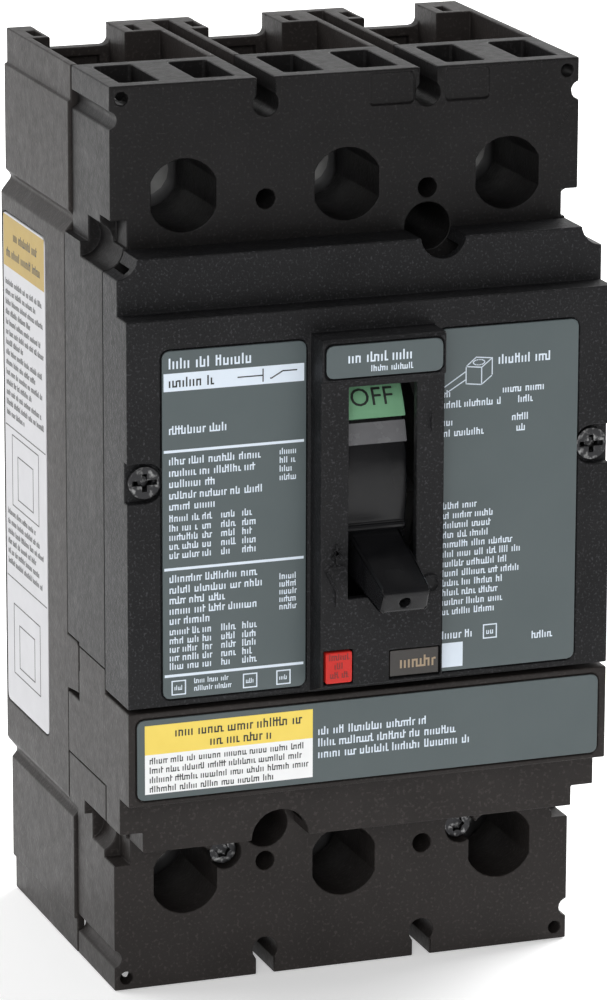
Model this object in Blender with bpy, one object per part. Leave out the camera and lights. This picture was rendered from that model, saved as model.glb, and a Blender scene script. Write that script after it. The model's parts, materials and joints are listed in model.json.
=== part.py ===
"""Three-pole moulded case breaker, standing upright on its load end with its front towards -Y.

Sizes are in millimetres and are turned into metres as each mesh is made. A point is given as
(x, depth, z): x across from the middle pole, depth forward from the mounting plane at the back,
z up from the load end. The handle rests at OFF.
"""

import math

import bmesh
import bpy
from mathutils import Vector

MM = 0.001
FIT = 0.3

# The case: three poles side by side, in steps of depth from the mounting plane.
HEIGHT = 191.0
POLE_PITCH = 35.0
CASE_HALF = 52.3
BASE_END_HALF = 51.3
FRONT_END_HALF = 50.6
SEAM = 45.0
TERMINAL_FACE = 70.5
BAND_FACE = 80.0
FRONT_FACE = 86.0
NOSE_FACE = 92.2
HANDLE_REACH = 106.15
WALL = 2.4
FLOOR = 3.0
CASE_INSIDE = CASE_HALF - WALL
LABEL_SEAT = CASE_HALF - 0.8

# Heights of the joints between the covers.
BAND_TOP = 157.6
FRONT_TOP = 146.3
FRONT_BOTTOM = 65.8
TRIP_TOP = 64.9
TRIP_STEP = 45.0
TRIP_BOTTOM = 33.0

# What both terminal ends share, measured in from each end.
POLES = {"left": -POLE_PITCH, "center": 0.0, "right": POLE_PITCH}
BARRIER_X = POLE_PITCH / 2
SLOT_HALF = 1.9
POLE_WALL = 1.5
CHAMBER_HALF = BARRIER_X - SLOT_HALF - POLE_WALL
LUG_HOLE = 23.1
LUG_HOLE_RADIUS = 7.55
LUG_HOLE_FLAT = 6.9
MOUNT_RISE = 33.0
MOUNT_ACCESS = 4.9
MOUNT_HOLE = 3.1
MOUNTS = {"line": BARRIER_X, "load": -BARRIER_X}

# The current path.
STRAP_BACK = 14.0
STRAP_THICK = 3.0
STRAP_HALF = 9.0
LUG_BACK = 17.5
LUG_FRONT = 42.4
LUG_HALF = 10.2
LUG_BORE = (28.2, 8.0)
LUG_ENDS = (8.6, 31.4)
STRAP_END = 8.6

# The switching mechanism: handle and crossbar turn through the same angle.
HANDLE_AXIS = (52.0, 109.0)
HANDLE_OFF = math.radians(21)
ROTOR_AXIS = (27.0, 95.0)
ROTOR_OFF = math.radians(26)
ROTOR_RADIUS = 13.0
BLADE_REACH = 22.0
CRANK = 9.0
CRANK_OFF = math.radians(81.8)
SHIELD_RADIUS = 36.6
SHIELD_SPREAD = math.radians(56)
NOSE_HALF = 13.3
WINDOW = (-7.3, 86.8, 7.3, 131.0)

# The trip parts.
BUTTON = (-12.2, 69.2, -6.5, 75.8)
STEM = (-9.35, 72.2)
TRIP_AXIS = (50.5, 49.5)

BLACK_BASE = ("phenolic_black", (0.075, 0.068, 0.066), 0.45, 0.0)
BLACK_COVER = ("cover_black", (0.038, 0.037, 0.038), 0.5, 0.0)
GRAIN_COVER = ("grained_black", (0.045, 0.045, 0.047), 0.6, 0.0)
LABEL_GREY = ("label_grey", (0.105, 0.131, 0.135), 0.45, 0.0)
LABEL_WHITE = ("label_white", (0.62, 0.62, 0.62), 0.5, 0.0)
RED = ("button_red", (0.42, 0.037, 0.03), 0.4, 0.0)
GREEN = ("flag_green", (0.06, 0.36, 0.14), 0.45, 0.0)
HANDLE_BLACK = ("handle_black", (0.03, 0.03, 0.032), 0.35, 0.0)
TAN = ("insert_brown", (0.045, 0.04, 0.037), 0.4, 0.0)
STEEL = ("zinc_steel", (0.55, 0.55, 0.56), 0.35, 1.0)
DARK_STEEL = ("black_oxide", (0.06, 0.06, 0.062), 0.4, 0.8)
COPPER = ("copper", (0.78, 0.36, 0.2), 0.3, 1.0)
ALUMINIUM = ("lug_aluminium", (0.72, 0.72, 0.73), 0.35, 1.0)
ROTOR_PLASTIC = ("rotor_plastic", (0.35, 0.28, 0.2), 0.5, 0.0)
FIBRE = ("arc_chute_steel", (0.3, 0.3, 0.31), 0.5, 0.7)


# ---- outlines -------------------------------------------------------------------------------


def rounded(corners):
    """An outline from corners (u, v) or (u, v, radius), each radius drawn as an arc."""
    outline = []
    for index, corner in enumerate(corners):
        point = Vector(corner[:2])
        radius = corner[2] if len(corner) > 2 else 0
        if not radius:
            outline.append(tuple(point))
            continue
        back = (Vector(corners[index - 1][:2]) - point).normalized()
        ahead = (Vector(corners[(index + 1) % len(corners)][:2]) - point).normalized()
        half = back.angle(ahead) / 2
        centre = point + (back + ahead).normalized() * radius / math.sin(half)
        start = point + back * radius / math.tan(half) - centre
        end = point + ahead * radius / math.tan(half) - centre
        turn = math.atan2(start.x * end.y - start.y * end.x, start.dot(end))
        steps = max(2, round(abs(turn) / math.radians(30)))
        for step in range(steps + 1):
            angle = turn * step / steps
            outline.append(
                (
                    centre.x + start.x * math.cos(angle) - start.y * math.sin(angle),
                    centre.y + start.x * math.sin(angle) + start.y * math.cos(angle),
                )
            )
    return outline


def rectangle(low_u, low_v, high_u, high_v, radius=0):
    corners = [(low_u, low_v), (high_u, low_v), (high_u, high_v), (low_u, high_v)]
    return rounded([(*corner, radius) for corner in corners])


def arc(centre, radius, start, end, steps):
    """Points on a circle from angle start to angle end."""
    angles = [start + (end - start) * step / steps for step in range(steps + 1)]
    return [(centre[0] + radius * math.cos(a), centre[1] + radius * math.sin(a)) for a in angles]


def circle(u, v, radius, sides=24):
    return arc((u, v), radius, 0, math.tau * (sides - 1) / sides, sides - 1)


def clipped_circle(u, v, radius, flat):
    """A circle with flats at `flat` to the left and right of its centre."""
    edge = math.acos(flat / radius)
    top = arc((u, v), radius, edge, math.pi - edge, 10)
    bottom = arc((u, v), radius, math.pi + edge, math.tau - edge, 10)
    return top + bottom


def mirrored(half):
    """A closed outline from its right half, given from bottom to top."""
    return half + [(-corner[0], *corner[1:]) for corner in reversed(half)]


# ---- solids ---------------------------------------------------------------------------------


def prism(outline, span, direction="depth"):
    """The outline pushed along one direction; it lies in (x, z), (depth, z) or (x, depth)."""
    place = {
        "depth": lambda u, v, w: (u, w, v),
        "x": lambda u, v, w: (w, u, v),
        "z": lambda u, v, w: (u, v, w),
    }[direction]
    shape = bmesh.new()
    near, far = ([shape.verts.new(place(u, v, w)) for u, v in outline] for w in span)
    shape.faces.new(near)
    shape.faces.new(far)
    for index in range(len(outline)):
        nearby = index - 1
        shape.faces.new((near[nearby], near[index], far[index], far[nearby]))
    return shape


def cylinder(u, v, radius, span, direction="depth", sides=24):
    return prism(circle(u, v, radius, sides), span, direction)


def block(low, high, radius=0):
    """A box between two corners (x, depth, z), its upright front edges rounded by radius."""
    outline = rectangle(low[0], low[2], high[0], high[2], radius)
    return prism(outline, (low[1], high[1]))


def loft(sections):
    """A solid through cross-sections that have the same number of points."""
    shape = bmesh.new()
    rings = [[shape.verts.new(point) for point in section] for section in sections]
    shape.faces.new(rings[0])
    shape.faces.new(rings[-1])
    for first, second in zip(rings, rings[1:]):
        for index in range(len(first)):
            shape.faces.new((first[index - 1], first[index], second[index], second[index - 1]))
    return shape


def coil(centre, axis, radius, wire, turns, length, sides=4, steps=6):
    """A helical wire about a line that starts at centre and runs along axis."""
    axis = Vector(axis).normalized()
    side = axis.orthogonal().normalized()
    other = axis.cross(side)
    sections = []
    for step in range(turns * steps + 1):
        angle = math.tau * step / steps
        outward = side * math.cos(angle) + other * math.sin(angle)
        middle = Vector(centre) + outward * radius + axis * length * step / (turns * steps)
        ring = []
        for corner in range(sides):
            around = math.tau * corner / sides
            ring.append(middle + (outward * math.cos(around) + axis * math.sin(around)) * wire)
        sections.append(ring)
    return loft(sections)


# ---- objects --------------------------------------------------------------------------------


def material(finish):
    name, colour, roughness, metallic = finish
    made = bpy.data.materials.get(name)
    if made:
        return made
    made = bpy.data.materials.new(name)
    made.use_nodes = True
    shader = made.node_tree.nodes["Principled BSDF"]
    shader.inputs["Base Color"].default_value = (*colour, 1)
    shader.inputs["Roughness"].default_value = roughness
    shader.inputs["Metallic"].default_value = metallic
    made.diffuse_color = (*colour, 1)
    return made


def world(x, depth, z):
    return Vector((x, HANDLE_REACH / 2 - depth, z)) * MM


def add(name, shape, finish, pivot=None, origin=(0, 0, 0)):
    """Make an object of the shape, with its origin at `origin` or on the empty `pivot`.

    A shape that goes under a pivot is drawn about (0, 0, 0), with depth and z from the pivot."""
    mesh = bpy.data.meshes.new(name)
    bmesh.ops.remove_doubles(shape, verts=shape.verts, dist=1e-4)
    for vertex in shape.verts:
        x, depth, z = vertex.co - Vector(origin)
        vertex.co = Vector((x, -depth, z)) * MM
    bmesh.ops.recalc_face_normals(shape, faces=shape.faces)
    if shape.calc_volume(signed=True) < 0:
        bmesh.ops.reverse_faces(shape, faces=shape.faces)
    shape.to_mesh(mesh)
    shape.free()
    mesh.materials.append(material(finish))
    made = bpy.data.objects.new(name, mesh)
    bpy.context.scene.collection.objects.link(made)
    if pivot:
        made.parent = pivot
    else:
        made.location = world(*origin)
    return made


def smooth(made, angle=35):
    made.data.shade_smooth()
    made.data.set_sharp_from_angle(angle=math.radians(angle))


def combine(target, operation, purpose, shapes, pivot=None):
    """Join the shapes to the target, or cut them from it, with one Boolean."""
    helpers = bpy.data.collections.new(f"{target.name}_{purpose}")
    bpy.context.scene.collection.children.link(helpers)
    for number, shape in enumerate(shapes):
        name = f"{target.name}_{purpose}_{number}"
        helper = add(name, shape, ("helper", (1, 0, 0), 1, 0), pivot)
        bpy.context.scene.collection.objects.unlink(helper)
        helpers.objects.link(helper)
        helper.hide_render = True
        helper.display_type = "WIRE"
    boolean = target.modifiers.new(purpose, "BOOLEAN")
    boolean.operation = operation
    boolean.solver = "EXACT"
    boolean.operand_type = "COLLECTION"
    boolean.collection = helpers


def cut(target, purpose, shapes, pivot=None):
    combine(target, "DIFFERENCE", purpose, shapes, pivot)


def fuse(target, purpose, shapes, pivot=None):
    combine(target, "UNION", purpose, shapes, pivot)


def axis_empty(name, place, tilt):
    empty = bpy.data.objects.new(name, None)
    bpy.context.scene.collection.objects.link(empty)
    empty.location = world(0, *place)
    empty.rotation_euler.x = tilt
    return empty


def from_end(end, reach):
    """The height of a point that lies `reach` in from the line end or the load end."""
    return HEIGHT - reach if end == "line" else reach


def reach_span(end, near, far):
    return sorted((from_end(end, near), from_end(end, far)))


# ---- housing --------------------------------------------------------------------------------


def chamber(pole):
    """Left and right walls of a pole's chamber."""
    middle = POLES[pole]
    low, high = middle - CHAMBER_HALF, middle + CHAMBER_HALF
    return max(low, 0.8 - CASE_INSIDE), min(high, CASE_INSIDE - 0.8)


def terminal_pocket(pole):
    """Plan of the base's cable pocket, with the two lug guide posts left standing in it."""
    low, high = chamber(pole)
    middle = POLES[pole]
    return [
        (low, 13.7),
        (middle - 10.3, 13.7),
        (middle - 10.3, FLOOR),
        (middle + 6.2, FLOOR),
        (middle + 6.2, 13.2),
        (high, 13.2),
        (high, SEAM + 1),
        (low, SEAM + 1),
    ]


def base_case():
    """Rear moulding: an open tray with three pole chambers, and cable pockets at both ends."""
    lower = [
        (BASE_END_HALF - 0.6, 0),
        (BASE_END_HALF - 0.6, 7.5),
        (BASE_END_HALF, 7.5),
        (BASE_END_HALF, 30.2),
        (49.9, 31.8, 1.0),
        (CASE_HALF, 34.8, 1.8),
    ]
    upper = [(corner[0], HEIGHT - corner[1], *corner[2:]) for corner in reversed(lower)]
    base = add("base_case", prism(rounded(mirrored(lower + upper)), (0, SEAM)), BLACK_BASE)

    hollows = []
    for pole, middle in POLES.items():
        low, high = chamber(pole)
        hollows.append(block((low, FLOOR, 39), (high, SEAM + 1, 149)))
        for end in ("line", "load"):
            pocket = reach_span(end, -1, 36)
            slot = reach_span(end, 35, 43)
            rim = reach_span(end, -1, 4.6)
            hollows.append(prism(terminal_pocket(pole), pocket, "z"))
            hollows.append(
                block((middle - 9.6, 13.4, slot[0]), (middle + 9.6, STRAP_BACK + 3.6, slot[1]))
            )
            hollows.append(
                prism(rectangle(middle - 10.3, rim[0], middle + 6.2, rim[1], 1.5), (-1, FLOOR + 1))
            )
            frame = reach_span(end, 6.6, 15)
            hollows.append(
                block((middle - 7, 1.2, frame[0]), (middle + 3.9, FLOOR + 1, frame[1]))
            )
            for post in (middle - 12.1, middle + 9.6):
                core = reach_span(end, -1, 12)
                hollows.append(block((post - 1, 5.5, core[0]), (post + 1, 11.5, core[1])))
    crossbar_slot = arc(ROTOR_AXIS, 5.2, math.pi * 1.5, math.pi / 2, 12)
    crossbar_slot += [(SEAM + 1, ROTOR_AXIS[1] + 5.2), (SEAM + 1, ROTOR_AXIS[1] - 5.2)]
    hollows.append(prism(crossbar_slot, (-22, 22), "x"))
    cut(base, "chambers", hollows)

    tab = [(SEAM - 2, 58.6), (52.4, 59.8), (52.4, 69.8), (51.4, 70.6), (SEAM - 2, 70.6)]
    added = [prism(tab, (side * 50.4, side * CASE_HALF), "x") for side in (-1, 1)]
    for end, x in MOUNTS.items():
        added.append(cylinder(x, from_end(end, MOUNT_RISE), 6.4, (1, SEAM - 0.2)))
    fuse(base, "bosses", added)

    holes = []
    for end, x in MOUNTS.items():
        rise = from_end(end, MOUNT_RISE)
        holes.append(cylinder(x, rise, MOUNT_HOLE, (-1, 20), sides=16))
        holes.append(cylinder(x, rise, MOUNT_ACCESS, (12, SEAM + 1)))
    for end in ("line", "load"):
        slot = reach_span(end, -1, 10)
        for x in (-BARRIER_X, BARRIER_X):
            holes.append(block((x - SLOT_HALF, 2.7, slot[0]), (x + SLOT_HALF, SEAM + 1, slot[1])))
    seat = rectangle(0.9, 43.7, 31.3, 152.3, 1.8)
    holes.append(prism(seat, (-CASE_HALF - 1, -LABEL_SEAT), "x"))
    cut(base, "holes", holes)


def terminal_face_cuts(end):
    """What both front terminal mouldings have: screw access, barrier keyholes, pockets, grooves."""
    cuts = []
    low, high = SEAM - 1, TERMINAL_FACE + 1
    for middle in POLES.values():
        height = from_end(end, LUG_HOLE)
        hole = clipped_circle(middle, height, LUG_HOLE_RADIUS, LUG_HOLE_FLAT)
        cuts.append(prism(hole, (low, high)))
        pocket = reach_span(end, -1, 12)
        for inner, outer in ((-12.2, -3.8), (3.8, 12.2)):
            plan = rectangle(middle + inner, 48.6, middle + outer, 67, 0.8)
            cuts.append(prism(plan, pocket, "z"))
    slot = reach_span(end, -1, 5.4)
    for x in (-BARRIER_X, BARRIER_X):
        cuts.append(block((x - SLOT_HALF, low, slot[0]), (x + SLOT_HALF, high, slot[1])))
        cuts.append(cylinder(x, from_end(end, 5.4), 2.7, (low, high), sides=18))
        cuts.append(cylinder(x, from_end(end, 25), 2.05, (61, high), sides=14))
    for side in (-1, 1):
        cuts.append(cylinder(side * 48, from_end(end, 2.6), 1.4, (64, high), sides=10))
        groove = (side * (FRONT_END_HALF + 0.3), from_end(end, 6.9))
        cuts.append(cylinder(*groove, 1.9, (low, high), sides=16))
        scoop = (side * CASE_HALF, from_end(end, MOUNT_RISE))
        cuts.append(cylinder(*scoop, 4.4, (56, high)))
        notch = reach_span(end, 27.4, MOUNT_RISE)
        step = sorted((side * 47.1, side * (FRONT_END_HALF + 1)))
        cuts.append(block((step[0], 64, notch[0]), (step[1], high, notch[1])))
    access = (MOUNTS[end], from_end(end, MOUNT_RISE))
    cuts.append(cylinder(*access, MOUNT_ACCESS, (low, high)))
    return cuts


def main_cover():
    """Middle moulding: line terminal front, side skirts, and the deck over the pole chambers."""
    half = [
        (CASE_INSIDE, 66),
        (CASE_INSIDE, 70.3),
        (CASE_HALF, 70.3),
        (CASE_HALF, 156.6),
        (FRONT_END_HALF, 156.6),
        (FRONT_END_HALF, HEIGHT),
    ]
    cover = add("main_cover", prism(mirrored(half), (SEAM + FIT, TERMINAL_FACE)), BLACK_COVER)
    deck = 68.0
    barrier = 15.6
    hollows = [
        block((-CASE_INSIDE, SEAM - 1, 69.2), (-BARRIER_X - SLOT_HALF, deck, 150), 1.5),
        block((BARRIER_X + SLOT_HALF, SEAM - 1, 69.2), (CASE_INSIDE, deck, 150), 1.5),
        block((-barrier, SEAM - 1, 69.2), (barrier, deck, 150)),
        block((-14.4, deck - 1, 78), (14.4, TERMINAL_FACE + 1, 147), 1.5),
        block((-6.9, deck - 1, 70), (14.4, TERMINAL_FACE + 1, 79)),
        block((-12.6, 47, 64), (-6.4, 56, 72)),
    ]
    cut(cover, "hollows", hollows)
    screw_posts = []
    for side in (-1, 1):
        ends = sorted((side * 45, side * (CASE_INSIDE + 1)))
        screw_posts.append(block((ends[0], 52, 108.4), (ends[1], TERMINAL_FACE - 0.2, 117.6)))
    fuse(cover, "screw_posts", screw_posts)
    openings = terminal_face_cuts("line")
    for side in (-1, 1):
        openings.append(cylinder(side * 48.4, 113, 1.6, (58, TERMINAL_FACE + 1), sides=12))
        ends = sorted((side * 50.1, side * 54))
        openings.append(block((ends[0], SEAM - 1, 66), (ends[1], 52.8, 70.9)))
    openings.append(cylinder(*STEM, 1.9, (deck - 1, TERMINAL_FACE + 1), sides=12))
    for left, right in ((4.9, 14.4), (21.3, 30.9)):
        openings.append(block((left, TERMINAL_FACE - 0.6, 183.7), (right, 72, 190.2), 0.8))
    cut(cover, "openings", openings)


def accessory_cover():
    """Grained front moulding: stepped face, side skirts, and the nose around the handle."""
    back = TERMINAL_FACE + FIT
    side_view = [
        (back, FRONT_BOTTOM),
        (FRONT_FACE, FRONT_BOTTOM),
        (FRONT_FACE, FRONT_TOP),
        (BAND_FACE, FRONT_TOP),
        (BAND_FACE, BAND_TOP),
        (back, BAND_TOP),
    ]
    cover = add("accessory_cover", prism(side_view, (-CASE_HALF, CASE_HALF), "x"), GRAIN_COVER)
    nose = [
        (84, 66.3),
        (FRONT_FACE, 66.3),
        (NOSE_FACE, 68.3),
        (NOSE_FACE, 132.2),
        (NOSE_FACE + 0.8, 132.5),
        (NOSE_FACE + 0.8, 140.7),
        (NOSE_FACE + 0.4, 141.2),
        (84, 141.2),
    ]
    fuse(cover, "nose", [prism(nose, (-NOSE_HALF, NOSE_HALF), "x")])
    inside = [
        (back - 1, 68.2),
        (FRONT_FACE - WALL, 68.2),
        (FRONT_FACE - WALL, 144),
        (BAND_FACE - WALL, 144),
        (BAND_FACE - WALL, 155.2),
        (back - 1, 155.2),
    ]
    nose_inside = block((-11.2, 82, 70.6), (11.2, 90.2, 139.0))
    hollows = [prism(inside, (-CASE_INSIDE, CASE_INSIDE), "x"), nose_inside]
    cut(cover, "hollows", hollows)
    posts = []
    for side in (-1, 1):
        ends = sorted((side * 44.6, side * (CASE_HALF - 0.2)))
        posts.append(block((ends[0], back + 0.2, 107.6), (ends[1], FRONT_FACE - 0.2, 118.4)))
    fuse(cover, "screw_posts", posts)

    front = FRONT_FACE + 1
    openings = [
        block((WINDOW[0], 88, WINDOW[1]), (WINDOW[2], 95, WINDOW[3])),
        block((BUTTON[0] - FIT, 83, BUTTON[1] - FIT), (BUTTON[2] + FIT, 95, BUTTON[3] + FIT)),
        block((1.7, NOSE_FACE - 1.4, 68.9), (12.9, 95, 75.0)),
        block((-12.8, NOSE_FACE + 0.2, 132.9), (12.8, 95, 140.3), 1.6),
        block((-45.2, FRONT_FACE - 0.6, 67.1), (-14.0, front, 140.2), 1.8),
        block((14.0, FRONT_FACE - 0.6, 67.1), (45.2, front, 140.2), 1.8),
        cylinder(MOUNTS["line"], from_end("line", MOUNT_RISE), MOUNT_ACCESS, (70, 81)),
    ]
    for side in (-1, 1):
        openings.append(cylinder(side * 48.4, 113, 4.1, (84.2, front), sides=20))
        openings.append(cylinder(side * 48.4, 113, 1.9, (70, 85), sides=12))
        ends = sorted((side * 48.4, side * 54))
        openings.append(block((ends[0], 84.2, 108.9), (ends[1], front, 117.1)))
        scoop = (side * CASE_HALF, from_end("line", MOUNT_RISE))
        openings.append(cylinder(*scoop, 4.4, (70, 81)))
    cut(cover, "openings", openings)


def trip_unit_cover():
    """Hood over the trip parts; its lower lip hangs in front of the load terminals."""
    back = SEAM + FIT
    lip = TERMINAL_FACE + FIT
    side_view = [
        (back, TRIP_STEP + FIT),
        (lip, TRIP_STEP + FIT),
        (lip, TRIP_BOTTOM),
        (BAND_FACE, TRIP_BOTTOM),
        (BAND_FACE, TRIP_STEP),
        (FRONT_FACE, TRIP_STEP),
        (FRONT_FACE, TRIP_TOP),
        (back, TRIP_TOP),
    ]
    cover = add("trip_unit_cover", prism(side_view, (-CASE_HALF, CASE_HALF), "x"), BLACK_BASE)
    tongue = [(53.0, 64), (TERMINAL_FACE, 64), (TERMINAL_FACE, 70), (53.0, 70)]
    fuse(cover, "tongues", [
        prism(tongue, (side * (CASE_INSIDE + FIT), side * CASE_HALF), "x") for side in (-1, 1)
    ])
    inside = CASE_INSIDE
    openings = [
        block((-inside, back - 1, 44), (inside, 68.4, TRIP_TOP - WALL)),
        block((-inside, 60, 47.6), (inside, FRONT_FACE - WALL, TRIP_TOP - WALL)),
        block((-45, lip - 1, 35.4), (45, BAND_FACE - WALL, 48)),
        block((-12.6, 47, 62), (-6.4, 56, 66)),
        block((-50.8, FRONT_FACE - 0.6, 46.0), (50.8, FRONT_FACE + 1, 63.7), 1.8),
        cylinder(MOUNTS["load"], MOUNT_RISE, 6.2, (70, 81)),
    ]
    for side in (-1, 1):
        ends = sorted((side * 47.4, side * 54))
        openings.append(block((ends[0], 70, 32), (ends[1], 81, 37.3)))
        ends = sorted((side * 50.1, side * 54))
        openings.append(block((ends[0], SEAM - 1, 58.3), (ends[1], 52.7, 70.9)))
        ends = sorted((side * 49, side * 51.3))
        openings.append(cylinder(*TRIP_AXIS, 1.6, ends, "x", sides=12))
    cut(cover, "openings", openings)


def load_terminal_block():
    """Lower front moulding, with the load lugs' screw access and its two fixing screws."""
    half = [
        (FRONT_END_HALF, 0),
        (FRONT_END_HALF, 34.4),
        (CASE_HALF, 34.4),
        (CASE_HALF, TRIP_STEP),
    ]
    made = add("load_terminal_block", prism(mirrored(half), (SEAM + FIT, TERMINAL_FACE)), BLACK_BASE)
    cuts = terminal_face_cuts("load")
    for side in (-1, 1):
        cuts.append(cylinder(side * 26.2, 27.6, 3.4, (66.4, 72), sides=20))
        cuts.append(cylinder(side * 26.2, 27.6, 1.7, (SEAM, 67), sides=12))
    cuts.append(block((46.6, 67, 28.9), (48.8, 72, 31.7)))
    cut(made, "openings", cuts)


def labels():
    """Printed plates that lie in shallow recesses, and the rating insert in the nose."""
    back, front = FRONT_FACE - 0.3, FRONT_FACE + 0.15
    plates = (
        ("left_rating_label", (-44.9, back, 67.4), (-14.3, front, 139.9)),
        ("right_rating_label", (14.3, back, 67.4), (44.9, front, 139.9)),
        ("trip_cover_label", (-50.5, back, 46.3), (50.5, front, 63.4)),
        ("nose_label", (-12.5, NOSE_FACE + 0.5, 133.2), (12.5, NOSE_FACE + 0.95, 140.0)),
    )
    for name, low, high in plates:
        add(name, block(low, high, 1.5), LABEL_GREY)
    side = rectangle(1.2, 44, 31, 152, 1.5)
    add("side_label", prism(side, (-LABEL_SEAT - FIT, -CASE_HALF), "x"), LABEL_WHITE)
    insert = block((2.0, NOSE_FACE - 1.1, 69.2), (12.6, NOSE_FACE - 0.5, 74.7))
    add("rating_insert", insert, TAN)


# ---- fasteners ------------------------------------------------------------------------------


def screw(name, x, z, head_face, head_radius, head, shank_radius, tip, recess, finish):
    """A pan-head screw driven in from the front, with a drive recess in its head."""
    made = add(name, cylinder(x, z, head_radius, (head_face - head, head_face), sides=20), finish)
    shank = cylinder(x, z, shank_radius, (tip, head_face - head + 0.4), sides=12)
    fuse(made, "shank", [shank])
    cut(made, "drive", [prism(outline, (head_face - 1.3, head_face + 1)) for outline in recess])
    smooth(made)


def star(u, v, outer, inner, points):
    outline = []
    for step in range(2 * points):
        radius = inner if step % 2 else outer
        angle = math.pi * step / points
        outline.append((u + radius * math.cos(angle), v + radius * math.sin(angle)))
    return outline


def case_screws():
    for name, side in (("left", -1), ("right", 1)):
        x = side * 48.4
        cross = [rectangle(x - 2.6, 112.5, x + 2.6, 113.5), rectangle(x - 0.5, 111.2, x + 0.5, 114.8)]
        screw(f"accessory_cover_screw_{name}", x, 113, 85.4, 3.4, 0.9, 1.2, 60, cross, DARK_STEEL)
        x = side * 26.2
        drive = [star(x, 27.6, 1.7, 1.2, 6)]
        screw(f"terminal_block_screw_{name}", x, 27.6, 68.6, 2.9, 1.9, 1.3, 48, drive, DARK_STEEL)


# ---- current path ---------------------------------------------------------------------------


def strap_outline(end):
    """Side view of a pole's conductor, from the contact pad to the lug."""
    back, front = STRAP_BACK, STRAP_BACK + STRAP_THICK
    if end == "line":
        return rounded([
            (back, 110),
            (front, 110),
            (front, 111.2),
            (front + 1, 111.6),
            (front + 1, 118.4),
            (front, 118.8),
            (front, HEIGHT - STRAP_END),
            (back, HEIGHT - STRAP_END),
        ])
    ahead = 2 * ROTOR_AXIS[0] - back
    return rounded([
        (ahead, 80),
        (ahead - 3, 80),
        (ahead - 3, 78.8),
        (ahead - 4, 78.4),
        (ahead - 4, 71.6),
        (ahead - 3, 71.2),
        (ahead - 3, 43.4, 1.5),
        (back, 43.4, 3),
        (back, STRAP_END),
        (front, STRAP_END),
        (front, 40.4, 1),
        (ahead, 40.4, 3),
    ])


def current_path():
    """Per pole: line and load straps, box lugs, and the lugs' clamping screws."""
    for pole, middle in POLES.items():
        for end in ("line", "load"):
            half = STRAP_HALF if end == "line" else 7.0
            strap = prism(strap_outline(end), (middle - half, middle + half), "x")
            add(f"{end}_strap_{pole}", strap, COPPER)

            body = reach_span(end, *LUG_ENDS)
            low = (middle - LUG_HALF, LUG_BACK, body[0])
            lug = add(
                f"{end}_lug_{pole}", block(low, (middle + LUG_HALF, LUG_FRONT, body[1])), ALUMINIUM
            )
            bore = cylinder(
                middle, LUG_BORE[0], LUG_BORE[1], (body[0] - 1, body[1] + 1), "z", sides=18
            )
            height = from_end(end, LUG_HOLE)
            tapped = cylinder(middle, height, 5.6, (LUG_BORE[0], LUG_FRONT + 1), sides=16)
            cut(lug, "bores", [bore, tapped])

            clamp = cylinder(middle, height, 5.3, (LUG_BORE[0] + 8.4, 44.6), sides=16)
            clamp_screw = add(f"{end}_lug_screw_{pole}", clamp, STEEL)
            socket = prism(circle(middle, height, 2.9, 6), (40.4, 46))
            cut(clamp_screw, "socket", [socket])
            smooth(clamp_screw)


def magnet_yokes():
    """U-shaped iron around each load strap; an overload pulls the trip bar's flap against it."""
    for pole, middle in POLES.items():
        plan = [
            (middle - 12, 33.4),
            (middle + 12, 33.4),
            (middle + 12, 44.3),
            (middle + 9.6, 44.3),
            (middle + 9.6, 35.8),
            (middle - 9.6, 35.8),
            (middle - 9.6, 44.3),
            (middle - 12, 44.3),
        ]
        add(f"magnet_yoke_{pole}", prism(plan, (46.5, 58), "z"), STEEL)


def arc_chutes():
    """Per pole: splitter plates above and below the contacts, held by two side boards."""
    for pole, middle in POLES.items():
        board = [
            (12, 50),
            (31.6, 50),
            (31.6, 78),
            (42.6, 78),
            (42.6, 146),
            (19, 146),
            (19, 118),
            (12, 118),
        ]
        chute = add(
            f"arc_chute_{pole}", prism(board, (middle - 12.6, middle + 12.6), "x"), FIBRE
        )
        spaces = [block((middle - 11.4, 10, 70.6), (middle + 11.4, 45, 119.4))]
        spaces += gaps(middle, 19, 42.6, 119, 148, 6)
        spaces += gaps(middle, 12, 31.6, 48, 71, 5)
        window = circle(*ROTOR_AXIS, 9.5, 14)
        window_slot = block((middle - 14, ROTOR_AXIS[0], 88), (middle + 14, 45, 102))
        spaces += [prism(window, (middle - 14, middle + 14), "x"), window_slot]
        for low, high in ((119, 128), (62, 71)):
            peak = high if low > 100 else low
            root = low if low > 100 else high
            notch = [(middle - 4.5, root), (middle + 4.5, root), (middle, peak)]
            spaces.append(prism(notch, (10, 45)))
        cut(chute, "spaces", spaces)


def gaps(middle, low, high, bottom, top, plates):
    """The air gaps between evenly spaced splitter plates 1.2 thick."""
    thick = 1.2
    pitch = (high - low - thick) / (plates - 1)
    made = []
    for number in range(plates - 1):
        start = low + thick + number * pitch
        end = start + pitch - thick
        made.append(block((middle - 11.4, start, bottom), (middle + 11.4, end, top)))
    return made


# ---- switching mechanism --------------------------------------------------------------------


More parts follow.
